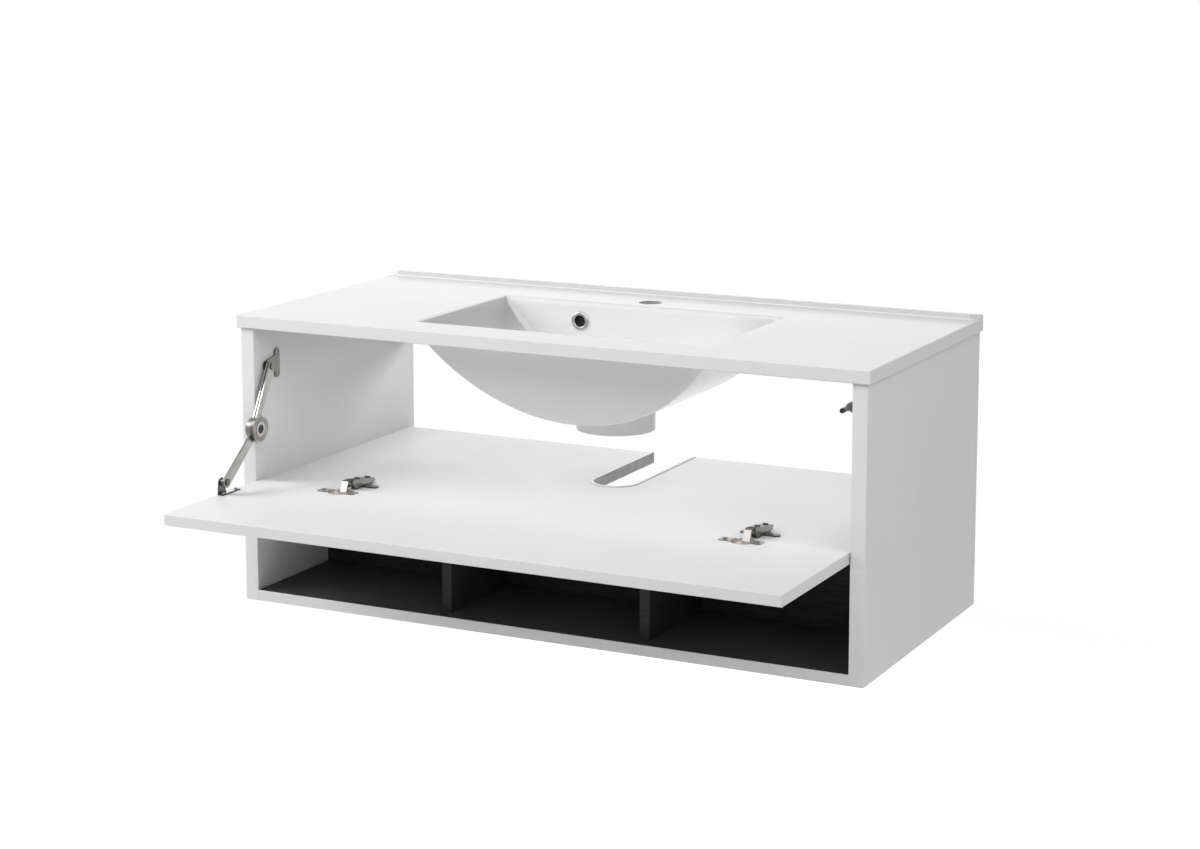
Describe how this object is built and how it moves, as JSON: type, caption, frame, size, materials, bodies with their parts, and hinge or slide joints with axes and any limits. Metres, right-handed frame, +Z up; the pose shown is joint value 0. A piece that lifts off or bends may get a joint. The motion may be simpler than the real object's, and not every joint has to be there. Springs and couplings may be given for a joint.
{
  "type": "bathroom vanity unit",
  "caption": "Wall-hung vanity cabinet with a drop-down front flap over open shelf bays and a ceramic top with a curved inset bowl.",
  "frame": {"origin": "on the wall plane, in the middle of the width, at the underside of the cabinet", "axes": "+X to the right seen from the front, +Y into the wall, +Z up"},
  "size_m": [1.01, 0.704, 0.447],
  "materials": {
    "white_board": "white satin lacquer",
    "black_board": "near-black laminate",
    "dowel_wood": "plain beech",
    "ceramic": "gloss white glaze",
    "chrome": "polished",
    "nickel": "bright nickel plate",
    "dark_steel": "dark zinc plate",
    "grey_plastic": "matt",
    "white_plastic": "satin white edge trim",
    "dark_rubber": "matt"
  },
  "bodies": {
    "cabinet": {"side_panel_left": "white_board", "side_panel_right": "white_board", "bottom_panel": "black_board", "shelf": "white_board", "lower_back_panel": "black_board", "divider_left": "black_board", "divider_right": "black_board", "notch_trim": "white_plastic", "hanging_rail": "white_board", "dowels": "dowel_wood", "washbasin": "ceramic", "overflow_ring": "chrome", "hinge_arm_left": "nickel", "hinge_arm_right": "nickel", "hinge_pins": "nickel", "hinge_plate_left": "nickel", "hinge_plate_right": "nickel", "hinge_plate_screws": "nickel", "hinge_arm_screws": "dark_steel", "stay_wall_bracket": "nickel", "stay_top_pin": "nickel", "stay_bracket_screws": "nickel", "latch_housing": "grey_plastic", "latch_screws": "nickel"},
    "flap": {"flap": "white_board", "hinge_cup_left": "nickel", "hinge_cup_right": "nickel", "hinge_cup_screws": "nickel", "stay_foot_bracket": "nickel", "stay_foot_pin": "nickel", "stay_foot_screws": "nickel"},
    "hinge_link_left": {"hinge_link_left": "nickel"},
    "hinge_link_right": {"hinge_link_right": "nickel"},
    "stay_upper_arm": {"stay_upper_arm": "nickel"},
    "stay_lower_arm": {"stay_lower_arm": "nickel", "stay_brake_disc": "nickel", "stay_adjusting_screw": "dark_steel"},
    "latch_plunger": {"latch_plunger": "grey_plastic", "latch_tip": "dark_rubber"}
  },
  "joints": [
    {"name": "flap_hinge", "type": "hinge", "parent": "cabinet", "child": "flap", "pos_m": [0, -0.463, 0.175], "axis": [-1, 0, 0], "range_deg": [0, 90]},
    {"name": "hinge_link_left_pivot", "type": "hinge", "parent": "cabinet", "child": "hinge_link_left", "pos_m": [-0.325, -0.447, 0.195], "axis": [1, 0, 0], "range_deg": [0, 26]},
    {"name": "hinge_link_right_pivot", "type": "hinge", "parent": "cabinet", "child": "hinge_link_right", "pos_m": [0.325, -0.447, 0.195], "axis": [1, 0, 0], "range_deg": [0, 26]},
    {"name": "stay_upper_pivot", "type": "hinge", "parent": "cabinet", "child": "stay_upper_arm", "pos_m": [-0.4698, -0.437, 0.3575], "axis": [1, 0, 0], "range_deg": [0, 100.83]},
    {"name": "stay_lower_pivot", "type": "hinge", "parent": "flap", "child": "stay_lower_arm", "pos_m": [-0.4648, -0.5645, 0.205], "axis": [1, 0, 0], "range_deg": [0, 81.07]},
    {"name": "latch_slide", "type": "slide", "parent": "cabinet", "child": "latch_plunger", "axis": [0, 1, 0], "range_m": [0, 0.0176]}
  ],
  "couplings": [
    {"joint": "hinge_link_left_pivot", "follows": "flap_hinge", "ratio": 0.28888},
    {"joint": "hinge_link_right_pivot", "follows": "flap_hinge", "ratio": 0.28888},
    {"joint": "stay_upper_pivot", "follows": "flap_hinge", "ratio": 1.1203},
    {"joint": "stay_lower_pivot", "follows": "flap_hinge", "ratio": 0.90066},
    {"joint": "latch_slide", "follows": "flap_hinge", "m_per_rad": 0.011141}
  ]
}
